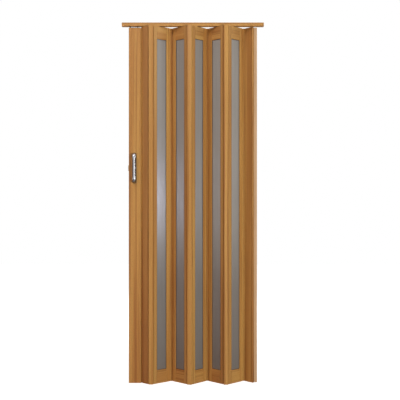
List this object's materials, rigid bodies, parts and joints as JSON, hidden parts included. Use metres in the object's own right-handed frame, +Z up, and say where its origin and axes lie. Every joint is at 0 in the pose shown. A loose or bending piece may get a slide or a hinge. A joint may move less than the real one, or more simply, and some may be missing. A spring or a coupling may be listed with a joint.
{
  "type": "accordion door",
  "caption": "Folding accordion door of hinged glazed leaves in wood-look PVC, hung from a straight top track, with a lead post, bow handles and a wall channel.",
  "frame": {"origin": "middle of the top track's upper face", "axes": "+Z up, +X along the track towards the wall channel, the front of the door faces -Y"},
  "size_m": [0.8, 0.11, 2.03],
  "materials": {
    "beech_foil": "wood-print foil on rigid PVC, satin",
    "pale_channel": "pale beech-coloured rigid PVC, matt",
    "frosted_pane": "frosted grey acrylic, satin",
    "chrome_handle": "polished",
    "handle_plate_abs": "dark moulded ABS, satin",
    "latch_steel": "plated",
    "runner_nylon": "moulded"
  },
  "bodies": {
    "root": {"back_fold_1": "beech_foil", "back_fold_2": "beech_foil", "back_fold_3": "beech_foil", "end_leaf": "beech_foil", "front_fold_1": "beech_foil", "front_fold_2": "beech_foil", "front_fold_3": "beech_foil", "handle_bow_back": "chrome_handle", "handle_bow_front": "chrome_handle", "handle_plate_back": "handle_plate_abs", "handle_plate_front": "handle_plate_abs", "latch": "latch_steel", "lead_post": "beech_foil", "leaf_1_bottom_rail": "beech_foil", "leaf_1_left_stile": "beech_foil", "leaf_1_pane": "frosted_pane", "leaf_1_right_stile": "beech_foil", "leaf_1_top_rail": "beech_foil", "leaf_2_bottom_rail": "beech_foil", "leaf_2_left_stile": "beech_foil", "leaf_2_pane": "frosted_pane", "leaf_2_right_stile": "beech_foil", "leaf_2_top_rail": "beech_foil", "leaf_3_bottom_rail": "beech_foil", "leaf_3_left_stile": "beech_foil", "leaf_3_pane": "frosted_pane", "leaf_3_right_stile": "beech_foil", "leaf_3_top_rail": "beech_foil", "leaf_4_bottom_rail": "beech_foil", "leaf_4_left_stile": "beech_foil", "leaf_4_pane": "frosted_pane", "leaf_4_right_stile": "beech_foil", "leaf_4_top_rail": "beech_foil", "leaf_5_bottom_rail": "beech_foil", "leaf_5_left_stile": "beech_foil", "leaf_5_pane": "frosted_pane", "leaf_5_right_stile": "beech_foil", "leaf_5_top_rail": "beech_foil", "leaf_runners": "runner_nylon", "lock_slide": "chrome_handle", "post_runners": "runner_nylon", "start_leaf": "beech_foil", "top_track": "beech_foil", "wall_bar": "pale_channel", "wall_channel": "pale_channel"}
  },
  "joints": []
}
